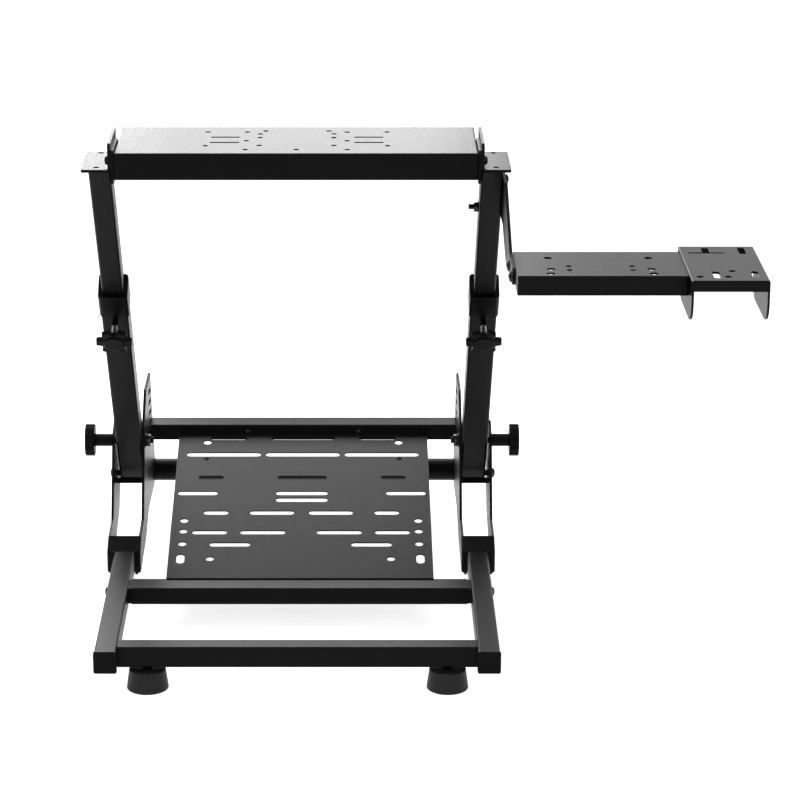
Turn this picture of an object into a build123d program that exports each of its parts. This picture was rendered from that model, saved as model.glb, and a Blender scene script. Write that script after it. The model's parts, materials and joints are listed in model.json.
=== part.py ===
from build123d import *
import os
from math import atan2, cos, degrees, hypot, radians, sin

# Racing wheel stand, in millimetres. +Z is up, +X is to the driver's right and +Y is away from the driver.
# It is modelled about the middle plane between the rails and then moved so that the origin lies on the floor,
# under the middle of the whole stand with its shifter arm.

# Base frame
half_track = 261.0         # middle plane to the centre of each rail and upright
front_y = -300.0           # front ends of the rails
rail_side = 30.0
rail_wall = 1.5
rail_corner = 3.0
rail_reach = 448.0         # front end to the rail's hidden end inside the upright bracket
cap_margin = 1.0           # how far a plastic end cap stands out round its tube
cap_head = 4.0
cap_plug = 16.0
cap_play = 0.2
crossbar_setback = 19.0    # front crossbar behind the rails' ends
bar_depth = 40.0           # flat bars that carry the pedal plate
bar_height = 25.0
bar_wall = 1.5
bar_corner = 2.5
pedal_bar_setback = 240.0  # pedal crossbar behind the rails' ends
bar_end = 5.0              # plates on the pedal crossbar's ends
bar_end_inset = 0.8

# Feet
foot_height = 29.5
foot_base_radius = 29.0
foot_top_radius = 25.0
foot_edge = 2.0
foot_inset = 55.5          # front foot's centre in from the rail's centre
stud_radius = 4.0
stud_reach = 5.5
rear_foot_radius = 18.0
rear_foot_top_radius = 16.0
rear_foot_behind = 40.0     # rear foot's centre behind the rail's hidden end

# Uprights
lean = 38.7                # from the vertical, towards the driver
pivot_setback = 591.0      # pivot pins behind the rails' ends
pivot_height = 119.0
lower_side = 38.0
lower_wall = 2.0
upper_side = 30.0
upper_wall = 1.5
tube_corner = 3.0
pivot_to_front = 10.0      # pivot behind the lower tube's front face
lower_tail = 12.0          # lower tube and its cap below the pivot
lower_rise = 468.0         # lower tube above the pivot
upper_tail = 250.0         # hidden end of the upper tube above the pivot, at rest
collar_drop = 36.0         # collar's grip on the lower tube
collar_lip = 2.5
collar_rim = 8.0           # open rim above the lip
collar_edge = 0.8
collar_wall = 2.0
slide_play = 0.3           # upper tube in the collar

# Upright brackets
plate_thickness = 4.0
plate_play = 0.5           # lower tube to the inner plate
outer_play = 3.3           # lower tube to the outer plate
nose_setback = 390.0       # front of the bracket, where the rail enters
nose_bottom = 29.0
web_run = 28.0             # sloping web over the rail's end
web_rise = 14.5
pin_radius = 5.0
pin_play = 0.06
pin_head_radius = 8.0
pin_head = 6.5
head_rim = 1.0             # straight rim under a domed head
pin_washer_radius = 9.5
pin_washer = 1.6
lock_rise = 79.0           # lock bolt above the pivot, along the tube
lock_radius = 5.0
lock_play = 0.5
tilt_up = 18.0             # uprights towards the vertical, in degrees
tilt_down = 6.0            # uprights towards the driver, in degrees
cross_tube_radius = 17.5
cross_tube_wall = 2.0
cross_tube_setback = 746.0
cross_tube_height = 71.0
boss_radius = 24.0
boss_toe = 6.0
shelf_run = 90.0           # bracket's nearly level top edge, from the nose
shelf_rise = 4.0
lock_margin = 16.0         # metal round the lock bolt's slot
lug_nose = 11.0
lug_height = 135.0         # lug above the pivot
lug_length = 102.0
lug_fall = 4.0
lug_ahead = 4.0
lug_tail = 6.0             # lug behind the rear crossbar
pivot_margin = 36.0        # outer plate behind the pivot
pivot_drop = 32.0
belly_back = 8.0
belly_rise = 22.0
bracket_corner = 7.0
fold_radius = 3.5          # bracket's folds at the nose
belly_margin = 4.0
strap_ahead = 21.0         # stop strap in front of the pivot
strap_height = 8.5
strap_lip = 2.6
strap_lip_depth = 6.0
strap_lip_share = 0.64     # of the gap between the plates, from the outer one
tie_thickness = 4.0
tie_length = 44.0
tie_bottom = 38.0          # underside of the plate that joins a bracket's two sides

# Rear crossbar and pedal plate
rear_bar_setback = 674.0
rear_bar_bottom = 144.0
pedal_sheet = 2.0
pedal_width = 386.0
pedal_pattern = 386.0      # plate width that the slots' places below are given for
pedal_lap = 3.5            # plate's front edge over the pedal crossbar
pedal_seat = 10.0          # plate's underside above the rear crossbar's
pedal_slot = 11.0
pedal_hole_radius = 6.0
pedal_oblong = 12.0
pedal_oblong_length = 25.0
lug_slots = 5
lug_slot_pitch = 17.3
lug_slot_length = 56.0
lug_slot_width = 8.0
lug_slot_dip = 8.0         # slots fall towards the back, in degrees
lug_slot_ahead = 17.0      # slots' middle in front of the rear crossbar's front face
lug_slot_first = 4.0       # lowest slot above the crossbar's middle
# Slots across the pedal plate: distance along it, then start and end from the middle; both sides alike
pedal_side_slots = (
    (392.0, 86.0, 145.0), (343.0, 64.5, 178.5), (275.0, 119.0, 158.5), (231.0, 127.0, 187.0),
    (176.0, 11.0, 77.0), (176.0, 109.0, 146.0), (122.0, 23.0, 90.0), (122.0, 109.0, 161.0),
    (89.0, 74.0, 134.0),
)
# Slots across the middle: distance along the plate and half length
pedal_middle_slots = ((392.0, 50.0), (343.0, 57.0), (275.0, 38.0), (231.0, 39.0), (212.0, 39.0))
# Round holes, and the oblong pair: distance from the middle and along the plate
pedal_holes = ((148.0, 379.0), (174.0, 154.0), (174.0, 125.0), (174.0, 91.0), (132.0, 51.0))
pedal_oblong_place = (175.0, 51.0)

# Ears and wheel plate
ear_thickness = 4.0
ear_drop = 22.0            # ears' level tops below the wheel plate's
ear_ahead = 20.06          # ear's front edge ahead of the upper tube's middle
ear_length = 107.0
ear_bend = 2.5             # inside radius of the fold
ear_reach = 40.0           # horizontal leg
ear_rise = 35.0            # vertical leg above the horizontal one
ear_hole_radius = 4.2
ear_hole_inset = 14.5
ear_hole_offset = 5.0      # outwards from the upright's centre
wheel_top = 731.0
wheel_depth = 164.0
wheel_sheet = 2.5
wheel_front_flange = 36.0
wheel_side_flange = 30.0
wheel_back_flange = 18.0
wheel_hole_radius = 4.0
wheel_slot = 6.5
wheel_slot_length = 40.5
wheel_slot_offset = 97.0
wheel_slot_rows = (67.0, 99.0)
# Round holes: distance from the middle and from the front edge; both sides alike
wheel_holes = (
    (122.0, 131.0), (122.0, 47.0), (68.0, 130.0), (68.0, 77.0), (68.0, 24.0),
    (50.0, 119.0), (50.0, 96.0), (50.0, 49.0), (43.0, 137.0),
)
wheel_middle_hole = 24.0
cheek_thickness = 3.5
cheek_length = 88.0
cheek_above = 3.0
cheek_below = 43.0
cheek_play = 0.3
cheek_corner = 8.0
wheel_pivot_inset = 18.0   # pivot behind the wheel plate's front edge
wheel_pivot_drop = 13.0
wheel_pin_radius = 4.0
wheel_pin_head_radius = 6.3
wheel_pin_head = 5.0
wheel_guide_reach = 68.0   # guide bolt behind the wheel plate's pivot
wheel_tilt_up = 12.0
wheel_tilt_down = 3.0

# Knobs
star_rise = 420.0          # star knob's axis above the pivot, along the tube
star_reach = 42.0          # star knob's outer face in front of the lower tube
star_lobes = 6
star_radius = 25.4
star_waist = 15.6          # notches between the lobes
star_tip = 5.8             # half a lobe's width at its tip
star_round = 2.5
star_edge = 1.2
star_turn = 2.0            # how the knob happens to stand, in degrees
star_thickness = 7.0
star_cap_radius = 14.8
star_cap_rise = 2.0
star_hub_radius = 10.0
star_hub = 3.0
star_screw_radius = 4.0
star_screw_play = 0.3
disc_radius = 24.5
disc_thickness = 14.7
disc_flutes = 12
flute_radius = 4.0
disc_edge = 2.0
hub_radius = 9.6
hub_length = 26.0
lock_tail = 12.0           # lock bolt beyond the inner plate
knob_play = 0.3            # side knob's hub off the outer plate

# Shifter arm
hanger_thickness = 4.0
hanger_shoulder = 10.0     # below the ear
hanger_back = 22.0
hanger_front = 52.0
hanger_nose = 46.0         # front end behind the tray's front edge
hanger_belly = 38.0        # below the tray's top
hanger_belly_back = 86.0
hanger_under = 11.0
hanger_heel = 14.0
hanger_heel_back = 19.0
hanger_corner = 8.0
hanger_top_drop = 3.5
hanger_belly_lift = 4.0
hanger_bolt_drops = (81.7, 21.7)  # below the upper tube's top, along it
hanger_bolt_radius = 4.0
tray_ahead = 278.0         # tray's front edge ahead of the wheel plate's
tray_depth = 121.0
tray_drop = 92.0           # tray below the wheel plate
tray_width = 213.5
tray_sheet = 2.5
tray_flange = 25.0
tray_back_flange = 22.0
tray_hole_radius = 5.5
tray_small_hole_radius = 4.0
# Holes: distance from the tray's middle and from its front edge; both sides alike
tray_holes = ((64.0, 88.0), (63.0, 34.0), (64.5, 13.0))
tray_small_holes = ((40.0, 48.0), (40.0, 30.0))
tray_bolt_drop = 17.0
tray_bolts = (61.0, 114.0)  # from the tray's front edge
shifter_width = 97.0
shifter_ahead = 33.0       # plate's front edge ahead of the tray's
shifter_depth = 169.0
shifter_sheet = 3.0
shifter_flange = 14.0
shifter_bend = 2.0
fin_drop = 56.0
fin_length = 137.0
fin_round = 26.0
shifter_slot = 9.0
shifter_slot_length = 31.0
shifter_slot_places = ((79.0, 145.0), (33.5, 29.0), (82.0, 31.0))
shifter_holes = ((12.0, 20.0), (55.0, 47.0), (47.0, 20.0))
shifter_hole_radius = 4.5
tee_place = 32.5           # T-shaped slot, from the plate's left edge
tee_back = 34.0            # and from its back edge
tee_length = 47.0
tee_slot = 5.0
tee_stem = 9.0
tee_stem_length = 24.0

# Derived places
rail_bottom = foot_height + stud_reach
rail_top = rail_bottom + rail_side
rear_foot_y = front_y + rail_reach + rear_foot_behind
ear_top = wheel_top - ear_drop
track_inner = half_track - rail_side / 2
inner_face = half_track - lower_side / 2 - plate_play - plate_thickness
outer_face = half_track + lower_side / 2 + outer_play + plate_thickness
pivot_y = front_y + pivot_setback
axis_offset = lower_side / 2 - pivot_to_front
lean_sin = sin(radians(lean))
lean_cos = cos(radians(lean))
upright_plane = Plane(
    origin=(0, pivot_y, pivot_height), x_dir=(1, 0, 0), z_dir=(0, -lean_sin, lean_cos)
)
lock_radius_arm = hypot(axis_offset, lock_rise)
lock_angle = degrees(atan2(lock_rise, axis_offset)) + lean
bar_top = rail_top
pedal_near = (front_y + pedal_bar_setback + bar_depth - pedal_lap, bar_top)
pedal_far = (front_y + rear_bar_setback, rear_bar_bottom + pedal_seat)
pedal_tilt = degrees(atan2(pedal_far[1] - pedal_near[1], pedal_far[0] - pedal_near[0]))
pedal_length = hypot(pedal_far[0] - pedal_near[0], pedal_far[1] - pedal_near[1])
pedal_plane = Plane(
    origin=(0, pedal_near[0], pedal_near[1]),
    x_dir=(1, 0, 0),
    z_dir=(0, -sin(radians(pedal_tilt)), cos(radians(pedal_tilt))),
)
ear_inner = half_track - upper_side / 2
cheek_outer = ear_inner - cheek_play
wheel_half = cheek_outer - cheek_thickness
upper_top = (ear_top - ear_thickness - pivot_height - axis_offset * lean_sin) / lean_cos
ear_start = pivot_y + axis_offset * lean_cos - upper_top * lean_sin - ear_ahead
wheel_start = ear_start
wheel_pivot = (wheel_start + wheel_pivot_inset, wheel_top - wheel_pivot_drop)
tray_front = wheel_start - tray_ahead
tray_top = wheel_top - tray_drop
hanger_bolt_rises = [upper_top - drop for drop in hanger_bolt_drops]
upper_outer = half_track + upper_side / 2
hanger_outer = upper_outer + hanger_thickness
tray_right = hanger_outer + tray_width


def block(x0, x1, y0, y1, z0, z1):
    """A box between two corners."""
    size = (x1 - x0, y1 - y0, z1 - z0)
    return Pos((x0 + x1) / 2, (y0 + y1) / 2, (z0 + z1) / 2) * Box(*size)


def tube_section(width, height, wall, corner):
    """A rounded hollow rectangle."""
    inner = max(corner - wall, wall / 2)
    outside = RectangleRounded(width, height, corner)
    return outside - RectangleRounded(width - 2 * wall, height - 2 * wall, inner)


def rounded_outline(points, radius):
    """A closed polygon with its corners rounded."""
    face = make_face(Polyline(*points, close=True))
    return fillet(face.vertices(), radius)


def across(face, x0, x1):
    """Extrude a face drawn in (Y, Z) from x0 to x1."""
    return extrude(Plane.YZ.offset(x0) * face, x1 - x0)


def along_y(face, x, y0, y1, z):
    """Extrude a section drawn in (X, Z) from y0 to y1."""
    section_plane = Plane(origin=(x, y0, z), x_dir=(1, 0, 0), z_dir=(0, 1, 0))
    return extrude(section_plane * face, y1 - y0)


def along_x(face, x0, x1, y, z):
    """Extrude a section drawn in (Y, Z) about the point (y, z)."""
    return extrude(Plane(origin=(x0, y, z), x_dir=(0, 1, 0), z_dir=(1, 0, 0)) * face, x1 - x0)


def rod(x0, x1, y, z, radius):
    """A round bar along X."""
    return along_x(Circle(radius), x0, x1, y, z)


def on_upright(shape, x=half_track):
    """Place a shape given in the upright's own axes."""
    return upright_plane * Pos(x, 0, 0) * shape


def upright_point(across_tube, along_tube):
    """(Y, Z) of a point given in the upright's own axes."""
    point = upright_plane.from_local_coords((0, across_tube, along_tube))
    return (point.Y, point.Z)


def arc_slot(centre, arm, start, end, radius):
    """A curved slot in (Y, Z): every place that a pin on a turning arm can take."""
    path = CenterArc(center=(*centre, 0), radius=arm, start_angle=start, arc_size=end - start)
    return SlotArc(path, 2 * radius)


def both_sides(name, shape):
    """A right-hand piece and its mirror image."""
    return {name + "_right": shape, name + "_left": mirror(shape, about=Plane.YZ)}


def tube_cap(width, height, wall):
    """A plug cap, its head below z = 0 and its plug above."""
    head = extrude(RectangleRounded(width + 2 * cap_margin, height + 2 * cap_margin, rail_corner), -cap_head)
    head = fillet(head.faces().sort_by(Axis.Z)[0].edges(), cap_margin)
    inset = 2 * (wall + cap_play)
    return head + extrude(RectangleRounded(width - inset, height - inset, rail_corner - wall), cap_plug)


def rails():
    section = tube_section(rail_side, rail_side, rail_wall, rail_corner)
    middle_z = rail_bottom + rail_side / 2
    start = front_y + cap_head
    rail = along_y(section, half_track, start, front_y + rail_reach, middle_z)
    cap_plane = Plane(origin=(half_track, start, middle_z), x_dir=(1, 0, 0), z_dir=(0, 1, 0))
    pieces = both_sides("base_rail", rail)
    pieces.update(both_sides("rail_cap", cap_plane * tube_cap(rail_side, rail_side, rail_wall)))
    return pieces


def crossbars():
    square = tube_section(rail_side, rail_side, rail_wall, rail_corner)
    flat = tube_section(bar_depth, bar_height, bar_wall, bar_corner)
    front_middle = front_y + crossbar_setback + rail_side / 2
    pedal_middle = front_y + pedal_bar_setback + bar_depth / 2
    pedal_z = bar_top - bar_height / 2
    pedal_reach = track_inner - bar_end
    end_plate = RectangleRounded(bar_depth - 2 * bar_end_inset, bar_height - 2 * bar_end_inset, bar_corner)
    pedal_bar = along_x(flat, -pedal_reach, pedal_reach, pedal_middle, pedal_z)
    pedal_bar += along_x(end_plate, pedal_reach, track_inner, pedal_middle, pedal_z)
    pedal_bar += along_x(end_plate, -track_inner, -pedal_reach, pedal_middle, pedal_z)
    rear_middle = front_y + rear_bar_setback + bar_depth / 2
    rear_z = rear_bar_bottom + bar_height / 2
    round_bar = Circle(cross_tube_radius) - Circle(cross_tube_radius - cross_tube_wall)
    tube_y = front_y + cross_tube_setback
    front_z = rail_bottom + rail_side / 2
    return {
        "front_crossbar": along_x(square, -track_inner, track_inner, front_middle, front_z),
        "pedal_crossbar": pedal_bar,
        "rear_crossbar": along_x(flat, -inner_face, inner_face, rear_middle, rear_z),
        "cross_tube": along_x(round_bar, -inner_face, inner_face, tube_y, cross_tube_height),
    }


def rubber_foot(base_radius, top_radius, height):
    foot = Pos(0, 0, height / 2) * Cone(base_radius, top_radius, height)
    return fillet(foot.edges().filter_by(GeomType.CIRCLE), foot_edge)


def feet():
    front = Pos(half_track - foot_inset, front_y + crossbar_setback + rail_side / 2, 0)
    rear = Pos(half_track, rear_foot_y, 0)
    stud = Pos(0, 0, foot_height + stud_reach / 2) * Cylinder(stud_radius, stud_reach)
    pieces = both_sides("front_foot", front * rubber_foot(foot_base_radius, foot_top_radius, foot_height))
    pieces.update(both_sides("foot_stud", front * stud))
    rear_foot = rear * rubber_foot(rear_foot_radius, rear_foot_top_radius, tie_bottom)
    pieces.update(both_sides("rear_foot", rear_foot))
    return pieces


def bracket_outline(rear_points):
    """Side plate of an upright bracket, from the nose up to the lock bolt's slot and round the back."""
    nose = front_y + nose_setback
    lock_start = lock_centre(-tilt_down)
    web_top = rail_top + web_rise
    points = [
        (nose, nose_bottom),
        (nose, rail_top),
        (nose + web_run, web_top),
        (nose + shelf_run, web_top + shelf_rise),
        (lock_start[0] - lock_margin, lock_start[1]),
    ]
    return points + rear_points


def lock_centre(angle):
    """(Y, Z) of the lock bolt with the uprights turned by an angle towards the vertical."""
    turned = radians(lock_angle - angle)
    return (pivot_y + lock_radius_arm * cos(turned), pivot_height + lock_radius_arm * sin(turned))


def brackets():
    nose = front_y + nose_setback
    tube_y = front_y + cross_tube_setback
    pivot = (pivot_y, pivot_height)
    lock_start = lock_centre(-tilt_down)
    lock_end = lock_centre(tilt_up)
    rear_y = front_y + rear_bar_setback + bar_depth
    tie_front = rear_foot_y - tie_length / 2
    tie_back = rear_foot_y + tie_length / 2
    belly = [
        (pivot_y + belly_back, rail_bottom + belly_rise),
        (tie_back + belly_margin, tie_bottom - belly_margin),
    ]
    lug_top = pivot_height + lug_height
    inner_rear = [
        (lock_start[0] - lug_nose, lock_start[1] + 2 * lock_margin),
        (pivot_y - lug_ahead, lug_top),
        (pivot_y + lug_length, lug_top - lug_fall),
        (rear_y + lug_tail, rear_bar_bottom + bar_height),
        (tube_y + boss_radius, cross_tube_height),
        (tube_y - boss_toe, cross_tube_height - boss_radius),
    ]
    outer_rear = [
        (lock_start[0] - lock_margin / 3, lock_start[1] + lock_margin),
        (lock_end[0], lock_end[1] + lock_margin),
        (lock_end[0] + lock_margin, lock_end[1] + lock_margin / 3),
        (pivot_y + pivot_margin, pivot_height),
        (pivot_y + pivot_margin, pivot_height - pivot_drop),
    ]
    slot_turn = SlotOverall(lug_slot_length, lug_slot_width, rotation=-lug_slot_dip)
    lug_middle = front_y + rear_bar_setback - lug_slot_ahead
    lowest = rear_bar_bottom + bar_height / 2 + lug_slot_first
    lock_path = arc_slot(pivot, lock_radius_arm, lock_angle - tilt_up, lock_angle + tilt_down,
                         lock_radius + lock_play)
    inner = rounded_outline(bracket_outline(inner_rear + belly), bracket_corner)
    for row in range(lug_slots):
        inner -= Pos(lug_middle, lowest + row * lug_slot_pitch) * slot_turn
    outer = rounded_outline(bracket_outline(outer_rear + belly), bracket_corner)
    pin_hole = Pos(*pivot) * Circle(pin_radius)
    inner_plate = across(inner - lock_path - pin_hole, inner_face, inner_face + plate_thickness)
    outer_plate = across(outer - lock_path - pin_hole, outer_face - plate_thickness, outer_face)
    web_points = [
        (nose, nose_bottom),
        (nose, rail_top),
        (nose + web_run, rail_top + web_rise),
        (nose + web_run + plate_thickness / 2, rail_top + web_rise - plate_thickness),
        (nose + plate_thickness, rail_top - plate_thickness / 2),
        (nose + plate_thickness, nose_bottom),
    ]
    web_face = make_face(Polyline(*web_points, close=True))
    web = across(web_face, inner_face + plate_thickness, outer_face - plate_thickness)
    web -= block(half_track - rail_side / 2, half_track + rail_side / 2, nose,
                 nose + web_run + plate_thickness, nose_bottom, rail_top)
    gap_start = inner_face + plate_thickness
    gap_end = outer_face - plate_thickness
    tie = block(gap_start, gap_end, tie_front, tie_back, tie_bottom, tie_bottom + tie_thickness)
    strap_y = pivot_y - strap_ahead
    strap = block(gap_start, gap_end, strap_y - plate_thickness, strap_y,
                  pivot_height - strap_height, pivot_height)
    lip_start = gap_end - strap_lip_share * (gap_end - gap_start)
    strap += block(lip_start, gap_end, strap_y - strap_lip_depth, strap_y,
                   pivot_height - strap_lip, pivot_height)
    bracket = inner_plate + outer_plate + web + tie + strap
    folds = bracket.edges().filter_by(Axis.Z).group_by(Axis.Y)[0]
    folds = folds.sort_by(Axis.X)
    bracket = fillet([folds[0], folds[-1]], fold_radius)
    return both_sides("upright_bracket", bracket)


def pivots():
    """Pins that the uprights turn on, with a washer and a domed head outside the outer plate."""
    shank = rod(inner_face, outer_face, pivot_y, pivot_height, pin_radius)
    washer = rod(outer_face, outer_face + pin_washer, pivot_y, pivot_height, pin_washer_radius)
    head_start = outer_face + pin_washer
    head = rod(head_start, head_start + pin_head, pivot_y, pivot_height, pin_head_radius)
    head = fillet(head.edges().filter_by(GeomType.CIRCLE).sort_by(Axis.X)[-1], pin_head - head_rim)
    return both_sides("pivot_pin", shank + washer + head)


def lower_uprights():
    section = Pos(0, axis_offset) * tube_section(lower_side, lower_side, lower_wall, tube_corner)
    tail = cap_head - lower_tail
    tube = Pos(0, 0, tail) * extrude(section, lower_rise - tail)
    tube -= rod(-lower_side, lower_side, 0, 0, pin_radius + pin_play)
    tube -= rod(-lower_side, lower_side, axis_offset, lock_rise, lock_radius)
    screw_hole = Cylinder(star_screw_radius, lower_side / 2)
    tube -= Pos(0, -pivot_to_front, star_rise) * Rot(90, 0, 0) * screw_hole
    cap = Pos(0, axis_offset, tail) * shoe()
    pieces = both_sides("lower_upright", on_upright(tube))
    pieces.update(both_sides("upright_cap", on_upright(cap)))
    return pieces


def shoe():
    """Flush plastic cap in the bottom of a lower tube."""
    inset = 2 * (lower_wall + cap_play)
    head = extrude(RectangleRounded(lower_side, lower_side, tube_corner), -cap_head)
    inside = lower_side - inset
    plug = extrude(RectangleRounded(inside, inside, tube_corner - lower_wall), cap_plug)
    return head + plug - Pos(0, -axis_offset, lower_tail - cap_head) * Rot(0, 90, 0) * Cylinder(
        pin_radius + pin_play, lower_side
    )


def collars():
    """Moulded collars that cap the lower tubes and guide the upper ones."""
    outside = lower_side + 2 * collar_wall
    mouth = upper_side + 2 * slide_play
    lip_top = collar_drop + collar_lip
    height = lip_top + collar_rim
    bore = RectangleRounded(lower_side, lower_side, tube_corner)
    body = extrude(RectangleRounded(outside, outside, tube_corner + collar_wall), height)
    body = fillet(body.faces().sort_by(Axis.Z)[-1].outer_wire().edges(), collar_edge)
    body -= extrude(bore, collar_drop)
    body -= Pos(0, 0, lip_top) * extrude(bore, collar_rim)
    body -= extrude(RectangleRounded(mouth, mouth, tube_corner), height)
    placed = Pos(0, axis_offset, lower_rise - collar_drop) * body
    return both_sides("collar", on_upright(placed))


def upper_uprights():
    section = Pos(0, axis_offset) * tube_section(upper_side, upper_side, upper_wall, tube_corner)
    top_z = ear_top - ear_thickness
    long_enough = (top_z - pivot_height) / lean_cos + upper_side
    tube = Pos(0, 0, upper_tail) * extrude(section, long_enough - upper_tail)
    right = on_upright(tube)
    right -= block(0, 2 * half_track, pivot_y - 2 * top_z, pivot_y + top_z, top_z, 2 * top_z)
    for rise in hanger_bolt_rises:
        y, z = upright_point(axis_offset, rise)
        right -= rod(half_track - upper_side, half_track + upper_side, y, z, hanger_bolt_radius)
    return both_sides("upper_upright", right)


def ears():
    """Angle brackets on the uprights' tops that carry the wheel plate."""
    start = ear_start
    end = start + ear_length
    flat = block(ear_inner, ear_inner + ear_reach, start, end, ear_top - ear_thickness, ear_top)
    upright_leg = block(ear_inner, ear_inner + ear_thickness, start, end, ear_top, ear_top + ear_rise)
    holes = Sketch()
    for y in (start + ear_hole_inset, end - ear_hole_inset / 2):
        holes += Pos(half_track + ear_hole_offset, y) * Circle(ear_hole_radius)
    flat -= Pos(0, 0, ear_top - ear_thickness) * extrude(holes, ear_thickness)
    guide = arc_slot(wheel_pivot, wheel_guide_reach, -wheel_tilt_down, wheel_tilt_up, wheel_pin_radius)
    upright_leg -= across(guide + Pos(*wheel_pivot) * Circle(wheel_pin_radius), ear_inner,
                          ear_inner + ear_thickness)
    ear = flat + upright_leg
    corner = ear.edges().filter_by(Axis.X).group_by(Axis.Z)[-1]
    ear = fillet(corner, ear_thickness)
    long_edges = ear.edges().filter_by(Axis.Y)
    inside = long_edges.filter_by_position(Axis.X, ear_inner + ear_thickness, ear_inner + ear_thickness)
    ear = fillet(inside.sort_by(Axis.Z)[0], ear_bend)
    outside = ear.edges().filter_by(Axis.Y).filter_by_position(Axis.X, ear_inner, ear_inner)
    ear = fillet(outside.sort_by(Axis.Z)[0], ear_bend + ear_thickness)
    corners = ear.edges().filter_by(Axis.Z).group_by(Axis.X)[-1]
    return both_sides("ear_bracket", fillet(corners, ear_thickness))


def wheel_pins():
    """Pins through the ears and the wheel plate's cheeks."""
    y, z = wheel_pivot
    inner = wheel_half - wheel_sheet
    shank = rod(inner, ear_inner + ear_thickness, y, z, wheel_pin_radius - pin_play)
    head_start = ear_inner + ear_thickness
    head = rod(head_start, head_start + wheel_pin_head, y, z, wheel_pin_head_radius)
    head = fillet(head.edges().filter_by(GeomType.CIRCLE).sort_by(Axis.X)[-1], wheel_pin_head - head_rim)
    return both_sides("wheel_pin", shank + head)


def wheel_plate():
    start = wheel_start
    end = start + wheel_depth
    tray = block(-wheel_half, wheel_half, start, end, wheel_top - wheel_front_flange, wheel_top)
    top_edges = tray.faces().sort_by(Axis.Z)[-1].edges()
    front_corners = tray.edges().filter_by(Axis.Z).group_by(Axis.Y)[0]
    tray = fillet(top_edges + front_corners, wheel_sheet)
    inside = wheel_half - wheel_sheet
    tray -= block(-inside, inside, start + wheel_sheet, end - wheel_sheet,
                  wheel_top - wheel_front_flange, wheel_top - wheel_sheet)
    tray -= block(-wheel_half, wheel_half, start + wheel_sheet, end,
                  wheel_top - wheel_front_flange, wheel_top - wheel_side_flange)
    tray -= block(-inside, inside, end - wheel_sheet, end,
                  wheel_top - wheel_side_flange, wheel_top - wheel_back_flange)
    pattern = Sketch()
    for x, y in wheel_holes:
        for side in (-1, 1):
            pattern += Pos(side * x, start + y) * Circle(wheel_hole_radius)
    pattern += Pos(0, start + wheel_middle_hole) * Circle(wheel_hole_radius)
    for y in wheel_slot_rows:
        for side in (-1, 1):
            pattern += Pos(side * wheel_slot_offset, start + y) * SlotOverall(wheel_slot_length, wheel_slot)
    tray -= Pos(0, 0, wheel_top - wheel_sheet) * extrude(pattern, wheel_sheet)
    guide = (wheel_pivot[0] + wheel_guide_reach, wheel_pivot[1])
    for y, z in (wheel_pivot, guide):
        tray -= rod(-wheel_half, wheel_half, y, z, wheel_pin_radius)
    low = wheel_top - cheek_below
    cheek_points = [
        (start, low),
        (start, wheel_top + cheek_above),
        (start + cheek_length, wheel_top + cheek_above),
        (start + cheek_length, low),
    ]
    cheek_face = rounded_outline(cheek_points, cheek_corner)
    cheek_face -= Pos(*wheel_pivot) * Circle(wheel_pin_radius)
    cheek_face -= Pos(*guide) * Circle(wheel_pin_radius)
    pieces = both_sides("wheel_cheek", across(cheek_face, wheel_half, cheek_outer))
    pieces["wheel_plate"] = tray
    return pieces


def pedal_plate():
    """Slotted sheet that rises from the pedal crossbar to the rear crossbar."""
    sheet = Pos(0, pedal_length / 2, pedal_sheet / 2) * Box(pedal_width, pedal_length, pedal_sheet)
    spread = pedal_width / pedal_pattern
    cuts = Sketch()
    for along, start, end in pedal_side_slots:
        for side in (-1, 1):
            middle = side * spread * (start + end) / 2
            cuts += Pos(middle, along) * SlotOverall(spread * (end - start), pedal_slot)
    for along, half in pedal_middle_slots:
        cuts += Pos(0, along) * SlotOverall(2 * spread * half, pedal_slot)
    for x, along in pedal_holes:
        for side in (-1, 1):
            cuts += Pos(side * spread * x, along) * Circle(pedal_hole_radius)
    oblong_x, oblong_along = pedal_oblong_place
    oblong = SlotOverall(pedal_oblong_length, pedal_oblong, rotation=90)
    for side in (-1, 1):
        cuts += Pos(side * spread * oblong_x, oblong_along) * oblong
    sheet -= extrude(cuts, pedal_sheet)
    beyond = block(-pedal_width, pedal_width, pedal_far[0], pedal_far[0] + bar_depth, 0, 2 * pedal_far[1])
    return {"pedal_plate": pedal_plane * sheet - beyond}


def star_knobs():
    """Six-lobed clamp knobs on screws through the lower tubes' front walls."""
    step = 360 / star_lobes
    points = []
    for lobe in range(star_lobes):
        turn = radians(star_turn + lobe * step)
        notch = radians(star_turn + (lobe + 0.5) * step)
        for side in (-star_tip, star_tip):
            x = star_radius * cos(turn) - side * sin(turn)
            y = star_radius * sin(turn) + side * cos(turn)
            points.append((x, y))
        points.append((star_waist * cos(notch), star_waist * sin(notch)))
    lobes = rounded_outline(points, star_round)
    face_z = star_reach - star_cap_rise
    star = Pos(0, 0, face_z - star_thickness) * extrude(lobes, star_thickness)
    star = fillet(star.faces().sort_by(Axis.Z)[-1].edges(), star_edge)
    cap = Pos(0, 0, face_z) * extrude(Circle(star_cap_radius), star_cap_rise)
    cap = fillet(cap.faces().sort_by(Axis.Z)[-1].edges(), star_cap_rise * 0.75)
    hub_start = face_z - star_thickness - star_hub
    hub = Pos(0, 0, hub_start) * extrude(Circle(star_hub_radius), star_hub)
    tip = (lower_side - upper_side) / 2 - star_screw_play
    screw = Pos(0, 0, -tip) * extrude(Circle(star_screw_radius), hub_start + tip)
    knob = Pos(0, -pivot_to_front, star_rise) * Rot(90, 0, 0) * (star + cap + hub + screw)
    return both_sides("star_knob", on_upright(knob))


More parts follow.
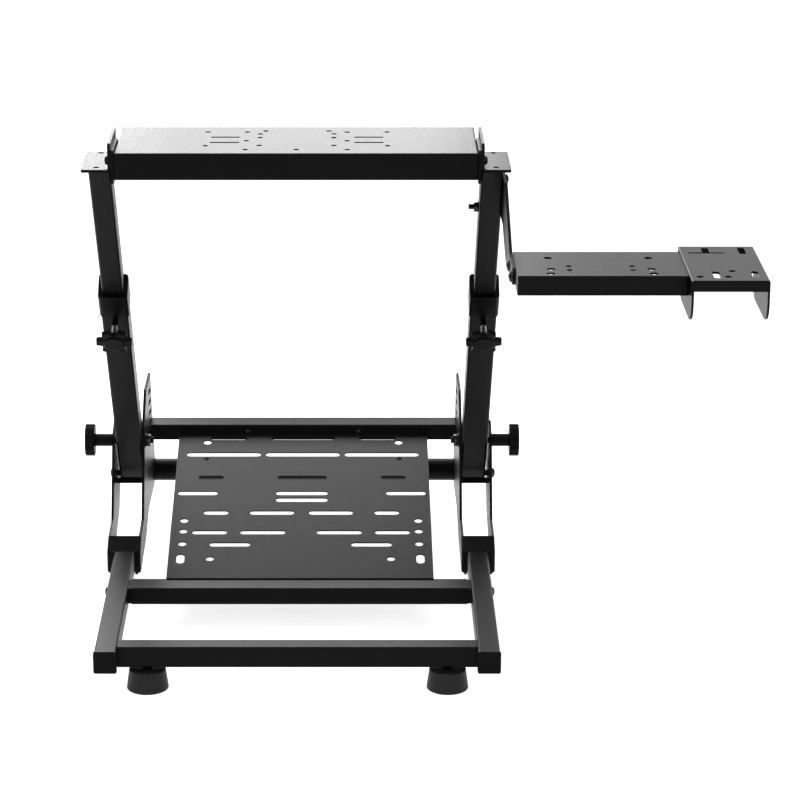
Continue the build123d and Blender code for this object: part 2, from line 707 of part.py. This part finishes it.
def side_knobs():
    """Fluted knobs on lock bolts through the brackets and the lower tubes."""
    disc = extrude(Circle(disc_radius), disc_thickness)
    disc = fillet(disc.edges(), disc_edge)
    for flute in PolarLocations(disc_radius + flute_radius / 2, disc_flutes):
        disc -= flute * extrude(Circle(flute_radius), disc_thickness)
    hub = Pos(0, 0, -hub_length) * extrude(Circle(hub_radius), hub_length)
    bolt_length = outer_face - inner_face + lock_tail + knob_play
    bolt = Pos(0, 0, -hub_length - bolt_length) * extrude(Circle(lock_radius), bolt_length)
    turned = Rot(0, 90, 0) * (disc + hub + bolt)
    reach = outer_face - half_track + knob_play + hub_length
    return both_sides("side_knob", on_upright(Pos(reach, axis_offset, lock_rise) * turned))


def shifter_arm():
    """Hanger on the right upright, tray and shifter plate."""
    front = tray_front
    back = front + tray_depth
    low_y, low_z = upright_point(axis_offset, hanger_bolt_rises[0])
    high_y, high_z = upright_point(axis_offset, hanger_bolt_rises[1])
    shoulder = ear_top - ear_thickness - hanger_shoulder
    nose = front + hanger_nose
    outline = [
        (high_y + hanger_back, shoulder),
        (high_y - hanger_front, shoulder),
        (back, tray_top - hanger_top_drop),
        (nose, tray_top - hanger_top_drop),
        (nose, tray_top - tray_flange),
        (back + hanger_belly_back, tray_top - hanger_belly),
        (low_y - hanger_front, low_z - hanger_under),
        (low_y + hanger_heel_back, low_z - hanger_heel),
        (low_y + hanger_heel_back, low_z + hanger_belly_lift),
    ]
    plate = across(rounded_outline(outline, hanger_corner), upper_outer, hanger_outer)
    for y, z in ((low_y, low_z), (high_y, high_z)):
        plate -= rod(upper_outer, hanger_outer, y, z, hanger_bolt_radius)
    for ahead in tray_bolts:
        plate -= rod(upper_outer, hanger_outer, front + ahead, tray_top - tray_bolt_drop, hanger_bolt_radius)
    return {"shifter_hanger": plate, "shifter_tray": shifter_tray(), "shifter_plate": shifter_plate()}


def shifter_tray():
    front = tray_front
    back = front + tray_depth
    low = tray_top - tray_flange
    tray = block(hanger_outer, tray_right, front, back, low, tray_top)
    edges = tray.edges().filter_by(Axis.X).group_by(Axis.Z)[-1] + tray.edges().filter_by(Axis.Z)
    tray = fillet(edges, tray_sheet)
    tray -= block(hanger_outer + tray_sheet, tray_right - tray_sheet, front + tray_sheet, back - tray_sheet,
                  low, tray_top - tray_sheet)
    tray -= block(hanger_outer + tray_sheet, tray_right - tray_sheet, back - tray_sheet, back,
                  low, tray_top - tray_back_flange)
    middle = hanger_outer + tray_width / 2
    holes = Sketch()
    for places, radius in ((tray_holes, tray_hole_radius), (tray_small_holes, tray_small_hole_radius)):
        for x, y in places:
            holes += Pos(middle + x, front + y) * Circle(radius)
            holes += Pos(middle - x, front + y) * Circle(radius)
    tray -= Pos(0, 0, tray_top - tray_sheet) * extrude(holes, tray_sheet)
    for ahead in tray_bolts:
        tray -= rod(hanger_outer, hanger_outer + tray_sheet, front + ahead, tray_top - tray_bolt_drop,
                    hanger_bolt_radius)
    return tray


def shifter_plate():
    front = tray_front - shifter_ahead
    back = front + shifter_depth
    right = tray_right + shifter_width
    top = tray_top + shifter_sheet
    sheet = block(tray_right, right, front, back, tray_top, top)
    front_lip = block(tray_right, right, front, front + shifter_sheet, top - shifter_flange, top)
    back_lip = block(tray_right, right, back - shifter_sheet, back, top - shifter_flange, top)
    fin_points = [
        (front, tray_top),
        (front, top - fin_drop),
        (front + fin_length, top - fin_drop),
        (front + fin_length, tray_top),
    ]
    fin_face = make_face(Polyline(*fin_points, close=True))
    low_corners = fin_face.vertices().group_by(Axis.Y)[0]
    fin_face = fillet(low_corners, fin_round)
    left_fin = across(fin_face, tray_right, tray_right + shifter_sheet)
    right_fin = across(fin_face, right - shifter_sheet, right)
    cuts = Sketch()
    tee_x = tray_right + tee_place
    cuts += Pos(tee_x, back - tee_back) * SlotOverall(tee_length, tee_slot)
    cuts += Pos(tee_x, back - tee_back + tee_stem_length / 2) * Rectangle(tee_stem, tee_stem_length)
    for x, y in shifter_slot_places:
        cuts += Pos(tray_right + x, front + y) * SlotOverall(shifter_slot_length, shifter_slot, rotation=90)
    for x, y in shifter_holes:
        cuts += Pos(tray_right + x, front + y) * Circle(shifter_hole_radius)
    plate = sheet + front_lip + back_lip + left_fin + right_fin
    plate = fillet(plate.edges().group_by(Axis.Z)[-1], shifter_bend)
    return plate - Pos(0, 0, tray_top) * extrude(cuts, shifter_sheet)


pieces = {}
for group in (rails, crossbars, feet, brackets, pivots, lower_uprights, collars, upper_uprights, ears,
              wheel_pins, wheel_plate, pedal_plate, star_knobs, side_knobs, shifter_arm):
    pieces.update(group())

boxes = [shape.bounding_box() for shape in pieces.values()]
middle_x = (min(box.min.X for box in boxes) + max(box.max.X for box in boxes)) / 2
middle_y = (min(box.min.Y for box in boxes) + max(box.max.Y for box in boxes)) / 2
to_origin = Pos(-middle_x, -middle_y, 0)
os.makedirs("parts", exist_ok=True)
for name, shape in pieces.items():
    export_step(to_origin * shape, f"parts/{name}.step")
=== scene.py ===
import json
import math

import bmesh
import bpy
from mathutils import Matrix, Vector


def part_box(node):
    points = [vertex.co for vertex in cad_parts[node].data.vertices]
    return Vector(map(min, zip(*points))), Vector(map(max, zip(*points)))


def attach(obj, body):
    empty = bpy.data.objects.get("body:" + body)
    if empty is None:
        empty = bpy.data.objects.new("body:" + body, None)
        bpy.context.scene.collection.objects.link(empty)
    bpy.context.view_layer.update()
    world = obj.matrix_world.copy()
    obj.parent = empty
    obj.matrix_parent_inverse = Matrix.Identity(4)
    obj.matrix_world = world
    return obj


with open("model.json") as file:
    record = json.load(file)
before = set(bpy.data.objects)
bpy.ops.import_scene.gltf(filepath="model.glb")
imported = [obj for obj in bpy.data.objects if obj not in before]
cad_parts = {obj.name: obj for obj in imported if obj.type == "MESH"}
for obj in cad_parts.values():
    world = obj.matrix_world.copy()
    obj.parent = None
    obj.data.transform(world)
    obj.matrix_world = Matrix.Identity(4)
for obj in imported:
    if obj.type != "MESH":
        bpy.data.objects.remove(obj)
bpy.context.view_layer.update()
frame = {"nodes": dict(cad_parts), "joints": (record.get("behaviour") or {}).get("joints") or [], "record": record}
mm = 0.001


# Linear RGBA of an sRGB hex colour
def linear(hexColour):
    channels = [int(hexColour[i:i + 2], 16) / 255 for i in (1, 3, 5)]
    return [c / 12.92 if c <= 0.04045 else ((c + 0.055) / 1.055) ** 2.4 for c in channels] + [1.0]


# Adds a shader node, sets its properties and sockets, and links its inputs
def addNode(tree, kind, settings=None, links=None):
    node = tree.nodes.new(kind)
    for key, value in (settings or {}).items():
        if isinstance(key, int) or key in node.inputs:
            node.inputs[key].default_value = value
        else:
            setattr(node, key, value)
    for key, source in (links or {}).items():
        tree.links.new(source, node.inputs[key])
    return node


# The emptied node tree of a material or world
def emptyTree(owner):
    owner.use_nodes = True
    owner.node_tree.nodes.clear()
    return owner.node_tree


# Two hex colours mixed by a factor; the mix node's colour sockets are known by number only
mixSocket = {"factor": 0, "first": 6, "second": 7, "result": 2}


def mixColours(tree, factor, first, second):
    settings = {"data_type": "RGBA",
                mixSocket["first"]: linear(first), mixSocket["second"]: linear(second)}
    mix = addNode(tree, "ShaderNodeMix", settings, {mixSocket["factor"]: factor})
    return mix.outputs[mixSocket["result"]]


# A procedural finish: two close colours, grain in the roughness and a fine bump, sized in mm
pattern = {"grainDetail": 3.0, "cloudDetail": 2.0, "bumpDepth": 0.2}


def finish(look):
    material = bpy.data.materials.new(look["name"])
    tree = emptyTree(material)
    coords = addNode(tree, "ShaderNodeTexCoord").outputs["Object"]
    grain = addNode(tree, "ShaderNodeTexNoise",
                    {"Scale": 1 / (look["grain"] * mm), "Detail": pattern["grainDetail"]},
                    {"Vector": coords}).outputs["Fac"]
    cloud = addNode(tree, "ShaderNodeTexNoise",
                    {"Scale": 1 / (look["cloud"] * mm), "Detail": pattern["cloudDetail"]},
                    {"Vector": coords}).outputs["Fac"]
    colour = mixColours(tree, cloud, look["dark"], look["light"])
    smoothest, roughest = look["roughness"]
    roughness = addNode(tree, "ShaderNodeMapRange", {"To Min": smoothest, "To Max": roughest},
                        {"Value": grain})
    bumpHeight = look["grain"] * mm * pattern["bumpDepth"]
    bump = addNode(tree, "ShaderNodeBump", {"Strength": look["bump"], "Distance": bumpHeight},
                   {"Height": grain})
    shader = addNode(tree, "ShaderNodeBsdfPrincipled",
                     {"Metallic": look["metallic"], "Specular IOR Level": look["specular"]},
                     {"Base Color": colour, "Roughness": roughness.outputs["Result"],
                      "Normal": bump.outputs["Normal"]})
    addNode(tree, "ShaderNodeOutputMaterial", {}, {"Surface": shader.outputs["BSDF"]})
    return material


powderCoat = finish({"name": "powder coat", "dark": "#0c0c0d", "light": "#0f0f10",
                     "grain": 1.6, "cloud": 40, "roughness": (0.27, 0.43), "bump": 0.90,
                     "metallic": 0.0, "specular": 0.07})
mouldedPlastic = finish({"name": "moulded plastic", "dark": "#08080a", "light": "#0d0d0e",
                         "grain": 0.6, "cloud": 18, "roughness": (0.30, 0.42), "bump": 0.15,
                         "metallic": 0.0, "specular": 0.06})
footRubber = finish({"name": "foot rubber", "dark": "#141414", "light": "#1b1b1b",
                     "grain": 0.5, "cloud": 12, "roughness": (0.45, 0.6), "bump": 0.15,
                     "metallic": 0.0, "specular": 0.25})
blackOxide = finish({"name": "black oxide", "dark": "#0a0a0b", "light": "#101011",
                     "grain": 0.4, "cloud": 6, "roughness": (0.12, 0.20), "bump": 0.05,
                     "metallic": 0.0, "specular": 0.3})
brightZinc = finish({"name": "bright zinc", "dark": "#b9bbbd", "light": "#d2d3d4",
                     "grain": 0.3, "cloud": 4, "roughness": (0.18, 0.30), "bump": 0.04,
                     "metallic": 1.0, "specular": 0.5})
print("finishes made")

# The CAD nodes' finishes and small edge rounding, by slot
slotFinish = {"frame_black": powderCoat, "plastic_black": mouldedPlastic,
              "rubber_black": footRubber, "bolt_black": blackOxide, "steel": brightZinc}
edgeWidth = {"frame_black": 0.5, "plastic_black": 0.5, "rubber_black": 0.4, "bolt_black": 0.2,
             "steel": 0.2}
edgeShape = {"segments": 2, "angle": 35}
nodeSlot = {part["node"]: part["material_slot"] for part in frame["record"]["subparts"]}
for name, node in frame["nodes"].items():
    node.data.materials.clear()
    node.data.materials.append(slotFinish[nodeSlot[name]])
    edge = node.modifiers.new("edge", "BEVEL")
    edge.width = edgeWidth[nodeSlot[name]] * mm
    edge.segments = edgeShape["segments"]
    edge.limit_method = "ANGLE"
    edge.angle_limit = math.radians(edgeShape["angle"])
    edge.harden_normals = True
print("frame finished")


# A solid of revolution about Z from (radius, height) pairs in mm: the profile starts and ends
# on the axis, or closes on itself for a ring
def turned(profile, steps):
    weld = 1e-6
    mesh = bmesh.new()
    chain = [mesh.verts.new((radius * mm, 0, height * mm)) for radius, height in profile]
    edges = [mesh.edges.new(pair) for pair in zip(chain, chain[1:])]
    bmesh.ops.spin(mesh, geom=chain + edges, cent=(0, 0, 0), axis=(0, 0, 1), angle=math.tau,
                   steps=steps, use_merge=True)
    bmesh.ops.remove_doubles(mesh, verts=mesh.verts, dist=weld)
    bmesh.ops.recalc_face_normals(mesh, faces=mesh.faces)
    return mesh


# Stands a bmesh made along +Z at a point in mm, along a direction
def place(mesh, at, towards):
    turn = Vector((0, 0, 1)).rotation_difference(Vector(towards)).to_matrix().to_4x4()
    bmesh.ops.transform(mesh, matrix=Matrix.Translation(Vector(at) * mm) @ turn, verts=mesh.verts)
    return mesh


# One object from several bmeshes, riding a CAD body
def piece(name, meshes, body, slot):
    sharpAngle = 40
    data = bpy.data.meshes.new(name)
    whole = bmesh.new()
    for mesh in meshes:
        part = bpy.data.meshes.new("part")
        mesh.to_mesh(part)
        mesh.free()
        whole.from_mesh(part)
        bpy.data.meshes.remove(part)
    whole.to_mesh(data)
    whole.free()
    data.shade_smooth()
    data.set_sharp_from_angle(angle=math.radians(sharpAngle))
    thing = bpy.data.objects.new(name, data)
    bpy.context.scene.collection.objects.link(thing)
    data.materials.append(slotFinish[slot])
    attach(thing, body)


# A button head with a round socket, seated on a face; shares of its radius and height
dome = {"crown": (0, 14, 28, 42, 56, 66), "rim": 0.22, "rise": 0.78, "socket": 0.36,
        "taper": 0.96, "lip": 0.97, "wall": 0.45, "floor": 0.4, "steps": 32}


def domeBolt(at, towards, radius, height):
    angles = [math.radians(degrees) for degrees in dome["crown"]]
    crown = [(radius * math.cos(a), height * (dome["rim"] + dome["rise"] * math.sin(a)))
             for a in angles]
    socket = radius * dome["socket"]
    recess = [(socket, height * dome["lip"]), (socket * dome["taper"], height * dome["wall"]),
              (0, height * dome["floor"])]
    return place(turned([(0, 0), (radius, 0)] + crown + recess, dome["steps"]), at, towards)


# A flat ring with broken outer edges
def washer(at, towards, radius, bore, height):
    chamfer = 0.3
    steps = 36
    profile = [(bore, 0), (radius - chamfer, 0), (radius, chamfer), (radius, height - chamfer),
               (radius - chamfer, height), (bore, height), (bore, 0)]
    return place(turned(profile, steps), at, towards)


# A hexagon nut with rounded edges
def hexNut(at, towards, flats, height):
    rounding = 0.5
    mesh = bmesh.new()
    bmesh.ops.create_circle(mesh, segments=6, radius=flats / math.sqrt(3) * mm, cap_ends=True)
    grown = bmesh.ops.extrude_face_region(mesh, geom=mesh.faces[:])
    tops = [v for v in grown["geom"] if isinstance(v, bmesh.types.BMVert)]
    bmesh.ops.translate(mesh, vec=(0, 0, height * mm), verts=tops)
    bmesh.ops.recalc_face_normals(mesh, faces=mesh.faces)
    bmesh.ops.bevel(mesh, geom=mesh.edges[:], offset=rounding * mm, affect="EDGES", segments=2,
                    profile=0.5, material=-1)
    return place(mesh, at, towards)


# A screw thread as ridges round a rod; depth and flanks in shares of the pitch
ridge = {"depth": 0.5, "foot": 0.12, "crest": 0.5, "end": 0.6, "steps": 28}


def thread(at, towards, radius, length, pitch):
    root = radius - ridge["depth"] * pitch
    profile = [(0, 0), (root, 0)]
    turns = int(length / pitch)
    for turn in range(turns):
        low = turn * pitch
        profile += [(root, low + ridge["foot"] * pitch), (radius, low + ridge["crest"] * pitch),
                    (radius, low + ridge["end"] * pitch)]
    profile += [(root, turns * pitch), (0, turns * pitch)]
    return place(turned(profile, ridge["steps"]), at, towards)


# Lowest and highest corner of a CAD node, in mm
def corners(node):
    low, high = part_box(node)
    return low / mm, high / mm


# Middle of a CAD node's box, in mm
def middleOf(node):
    low, high = corners(node)
    return (low + high) / 2


joint = {j["name"]: j for j in frame["joints"]}
pivot = Vector(joint["upright_tilt"]["pos_m"]) / mm
wheelPivot = Vector(joint["wheel_plate_tilt"]["pos_m"]) / mm
upAxis = Vector(joint["height_slide"]["axis"])
backAxis = Vector((0, upAxis.z, -upAxis.y))
middleX = middleOf("front_crossbar").x
halfTrack = middleOf("base_rail_right").x - middleX
sides = {"left": -1, "right": 1}


# A point in the uprights' own axes: across is towards the back, along is up from the pivot
def uprightPoint(side, across, along):
    foot = Vector((middleX + side * halfTrack, pivot.y, pivot.z))
    return foot + backAxis * across + upAxis * along


# Base bolts: places, then radius and height of the heads, flats and height of the nuts
baseFit = {"plate": 4.0, "rearBoltIn": 8.0, "rearBoltUp": 14.0, "pedalBoltOut": 86.5,
           "pedalBoltUp": 12.8, "railHead": (7.0, 4.4), "rearHead": (8.0, 5.0),
           "tubeHead": (9.0, 5.5), "pedalHead": (4.8, 2.8), "footNut": (13.0, 4.6)}
baseBolts = []
pedalBar = middleOf("pedal_crossbar")
rearBarLow, rearBarHigh = corners("rear_crossbar")
crossTube = middleOf("cross_tube")
for name, side in sides.items():
    out = (side, 0, 0)
    railLow, railHigh = corners("base_rail_" + name)
    railOutside = railHigh.x if side > 0 else railLow.x
    railBolt = (railOutside, pedalBar.y, pedalBar.z)
    baseBolts.append(domeBolt(railBolt, out, *baseFit["railHead"]))
    plateFace = (rearBarHigh.x if side > 0 else rearBarLow.x) + side * baseFit["plate"]
    rearBolt = (plateFace, rearBarLow.y + baseFit["rearBoltIn"],
                rearBarLow.z + baseFit["rearBoltUp"])
    baseBolts.append(domeBolt(rearBolt, out, *baseFit["rearHead"]))
    tubeBolt = (plateFace, crossTube.y, crossTube.z)
    baseBolts.append(domeBolt(tubeBolt, out, *baseFit["tubeHead"]))
    pedalBolt = (middleX + side * baseFit["pedalBoltOut"], rearBarLow.y,
                 rearBarLow.z + baseFit["pedalBoltUp"])
    baseBolts.append(domeBolt(pedalBolt, (0, -1, 0), *baseFit["pedalHead"]))
    footLow, footHigh = corners("front_foot_" + name)
    footMiddle = (footLow + footHigh) / 2
    footTop = (footMiddle.x, footMiddle.y, footHigh.z)
    baseBolts.append(hexNut(footTop, (0, 0, 1), *baseFit["footNut"]))
piece("base_bolts", baseBolts, "base", "bolt_black")

# Screws in the pedal plate
plateFit = {"lap": 3.5, "seat": 10.0, "sheet": 2.0, "out": 148.0, "along": 332.0,
            "head": (4.4, 1.8)}
pedalBarHigh = corners("pedal_crossbar")[1]
plateNear = Vector((middleX, pedalBarHigh.y - plateFit["lap"], pedalBarHigh.z))
plateFar = Vector((middleX, rearBarLow.y, rearBarLow.z + plateFit["seat"]))
plateRise = (plateFar - plateNear).normalized()
plateUp = Vector((0, -plateRise.z, plateRise.y))
plateScrews = []
for side in sides.values():
    seat = plateNear + plateRise * plateFit["along"] + plateUp * plateFit["sheet"]
    seat.x += side * plateFit["out"]
    plateScrews.append(domeBolt(seat, plateUp, *plateFit["head"]))
piece("pedal_plate_screws", plateScrews, "base", "bolt_black")

# Screws on the uprights: threads as radius, length and pitch
screwFit = {"front": -20.0, "starRise": 420.0, "lockRise": 79.0, "axis": 9.0, "slip": 0.15,
            "starThread": (4.15, 19.0, 1.25), "lockWasher": (10.5, 5.1, 1.6),
            "lockNut": (17.0, 8.0)}
knobThreads = []
lockNuts = []
for name, side in sides.items():
    starEnd = uprightPoint(side, screwFit["front"], screwFit["starRise"])
    knobThreads.append(thread(starEnd, -backAxis, *screwFit["starThread"]))
    bracketLow, bracketHigh = corners("upright_bracket_" + name)
    lockEnd = uprightPoint(side, screwFit["axis"], screwFit["lockRise"])
    lockEnd.x = (bracketLow.x if side > 0 else bracketHigh.x) - side * screwFit["slip"]
    inward = (-side, 0, 0)
    lockNuts.append(washer(lockEnd, inward, *screwFit["lockWasher"]))
    lockNuts.append(hexNut(lockEnd, inward, *screwFit["lockNut"]))
piece("clamp_screw_threads", knobThreads, "uprights", "steel")
piece("lock_nuts", lockNuts, "uprights", "bolt_black")

# Shifter arm bolts: two in the right inner tube, two from the hanger into the tray; only the
# tube's lower bolt has a nut, as the wheel plate's cheek passes close to the upper one
armFit = {"tubeBolts": (662.0, 722.0), "trayBolts": (61.0, 114.0), "trayDrop": 17.0,
          "tube": 30.0, "head": (7.0, 4.4), "nut": (13.0, 6.5), "thread": (4.0, 14.0, 1.25)}
armBolts = []
trayLow, trayHigh = corners("shifter_tray")
hangerLow, hangerHigh = corners("shifter_hanger")
for along in armFit["tubeBolts"]:
    tubeBolt = uprightPoint(1, screwFit["axis"], along)
    armBolts.append(domeBolt((hangerHigh.x, tubeBolt.y, tubeBolt.z), (1, 0, 0), *armFit["head"]))
lowBolt = uprightPoint(1, screwFit["axis"], armFit["tubeBolts"][0])
tubeInside = (hangerLow.x - armFit["tube"], lowBolt.y, lowBolt.z)
armBolts.append(hexNut(tubeInside, (-1, 0, 0), *armFit["nut"]))
armBolts.append(thread(tubeInside, (-1, 0, 0), *armFit["thread"]))
for ahead in armFit["trayBolts"]:
    trayBolt = (hangerLow.x, trayLow.y + ahead, trayHigh.z - armFit["trayDrop"])
    armBolts.append(domeBolt(trayBolt, (-1, 0, 0), *armFit["head"]))
piece("shifter_arm_bolts", armBolts, "mast", "bolt_black")

# Guide bolts that follow the ears' arc slots, stood off the ears so that they slide free
guideFit = {"reach": 68.0, "ear": 4.0, "standOff": 1.4, "head": (5.0, 3.0), "shank": 2.9,
            "through": 9.0, "sunk": 0.5, "steps": 24}
guideBolts = []
for name, side in sides.items():
    earLow, earHigh = corners("ear_bracket_" + name)
    earInside = earLow.x if side > 0 else earHigh.x
    seat = Vector((earInside, wheelPivot.y + guideFit["reach"], wheelPivot.z))
    seat.x += side * (guideFit["ear"] + guideFit["standOff"])
    guideBolts.append(domeBolt(seat, (side, 0, 0), *guideFit["head"]))
    shank = [(0, 0), (guideFit["shank"], 0), (guideFit["shank"], guideFit["through"]),
             (0, guideFit["through"])]
    shankStart = seat + Vector((guideFit["sunk"] * side, 0, 0))
    guideBolts.append(place(turned(shank, guideFit["steps"]), shankStart, (-side, 0, 0)))
piece("wheel_plate_guide_bolts", guideBolts, "wheel_mount", "bolt_black")
print("bolts placed")

# Floor: white to the camera and in reflections, dimmer as a light on the stand
scene = bpy.context.scene
floorLook = {"size": 4.0, "white": "#f4f4f4", "glow": 0.76, "dim": "#c0c0c0"}
floorMesh = bpy.data.meshes.new("floor")
floorShape = bmesh.new()
bmesh.ops.create_grid(floorShape, x_segments=1, y_segments=1, size=floorLook["size"])
floorShape.to_mesh(floorMesh)
floorShape.free()
floor = bpy.data.objects.new("floor", floorMesh)
scene.collection.objects.link(floor)
floorMaterial = bpy.data.materials.new("white floor")
floorTree = emptyTree(floorMaterial)
floorRay = addNode(floorTree, "ShaderNodeLightPath")
floorShade = addNode(floorTree, "ShaderNodeBsdfDiffuse", {"Color": linear(floorLook["white"])})
floorGlow = addNode(floorTree, "ShaderNodeEmission",
                    {"Color": linear("#ffffff"), "Strength": floorLook["glow"]})
floorLit = addNode(floorTree, "ShaderNodeAddShader", {},
                   {0: floorShade.outputs[0], 1: floorGlow.outputs[0]})
floorDim = addNode(floorTree, "ShaderNodeBsdfDiffuse", {"Color": linear(floorLook["dim"])})
floorSeen = addNode(floorTree, "ShaderNodeMath", {"operation": "MAXIMUM"},
                    {0: floorRay.outputs["Is Camera Ray"], 1: floorRay.outputs["Is Glossy Ray"]})
floorMix = addNode(floorTree, "ShaderNodeMixShader", {},
                   {0: floorSeen.outputs[0], 1: floorDim.outputs[0], 2: floorLit.outputs[0]})
addNode(floorTree, "ShaderNodeOutputMaterial", {}, {"Surface": floorMix.outputs[0]})
floorMesh.materials.append(floorMaterial)

# Backdrop: white to the camera, grey as a light on the stand
worldLook = {"unseen": "#a0a0a0", "seen": "#ffffff"}
world = bpy.data.worlds.new("studio")
scene.world = world
worldTree = emptyTree(world)
seen = addNode(worldTree, "ShaderNodeLightPath").outputs["Is Camera Ray"]
shine = mixColours(worldTree, seen, worldLook["unseen"], worldLook["seen"])
backdrop = addNode(worldTree, "ShaderNodeBackground", {"Strength": 1.0}, {"Color": shine})
addNode(worldTree, "ShaderNodeOutputWorld", {}, {"Surface": backdrop.outputs["Background"]})

# Lamps, in metres and watts
lamps = [
    {"name": "back softbox", "power": 26,
     "at": (-0.47, 1.6, 1.19), "aim": (-0.47, 0, 0.95), "size": (1.36, 0.88)},
    {"name": "back low card", "power": 6,
     "at": (-0.8, 1.6, 0.72), "aim": (-0.6, 0, 0.3), "size": (0.7, 0.4)},
    {"name": "back right softbox", "power": 38,
     "at": (1.5, 4.2, 1.9), "aim": (0, 0, 0.5), "size": (2.6, 2.8)},
    {"name": "top softbox", "power": 60,
     "at": (-0.4, -0.4, 3.6), "aim": (0, 0, 0), "size": (3.4, 3.4)},
    {"name": "front softbox", "power": 20,
     "at": (0.4, -3.6, 2.5), "aim": (0, 0, 0.4), "size": (3.0, 1.2)},
    {"name": "front fill", "power": 8,
     "at": (-2.6, -3.4, 0.9), "aim": (0, 0, 0.4), "size": (2.0, 1.6)},
    {"name": "front card", "power": 2.4,
     "at": (0.8, -2.7, 0.15), "aim": (0.5, 0, 0.4), "size": (0.9, 0.5)},
]
for lamp in lamps:
    light = bpy.data.lights.new(lamp["name"], "AREA")
    light.shape = "RECTANGLE"
    light.size, light.size_y = lamp["size"]
    light.energy = lamp["power"]
    holder = bpy.data.objects.new(lamp["name"], light)
    holder.location = lamp["at"]
    beam = Vector(lamp["aim"]) - Vector(lamp["at"])
    holder.rotation_euler = beam.to_track_quat("-Z", "Y").to_euler()
    scene.collection.objects.link(holder)

# Camera as solved from the photograph: lens and sensor in mm, place in metres, tilt in degrees
cameraFit = {"lens": 135, "sensor": 36, "shift": 0.06875, "at": (-0.0661, -4.0540, 1.6276),
             "down": 17.7}
cameraData = bpy.data.cameras.new("camera")
cameraData.lens = cameraFit["lens"]
cameraData.sensor_width = cameraFit["sensor"]
cameraData.shift_x = cameraFit["shift"]
camera = bpy.data.objects.new("camera", cameraData)
camera.location = cameraFit["at"]
camera.rotation_euler = (math.radians(90 - cameraFit["down"]), 0, 0)
scene.collection.objects.link(camera)
scene.camera = camera
scene.view_settings.view_transform = "Standard"
print("stage set")
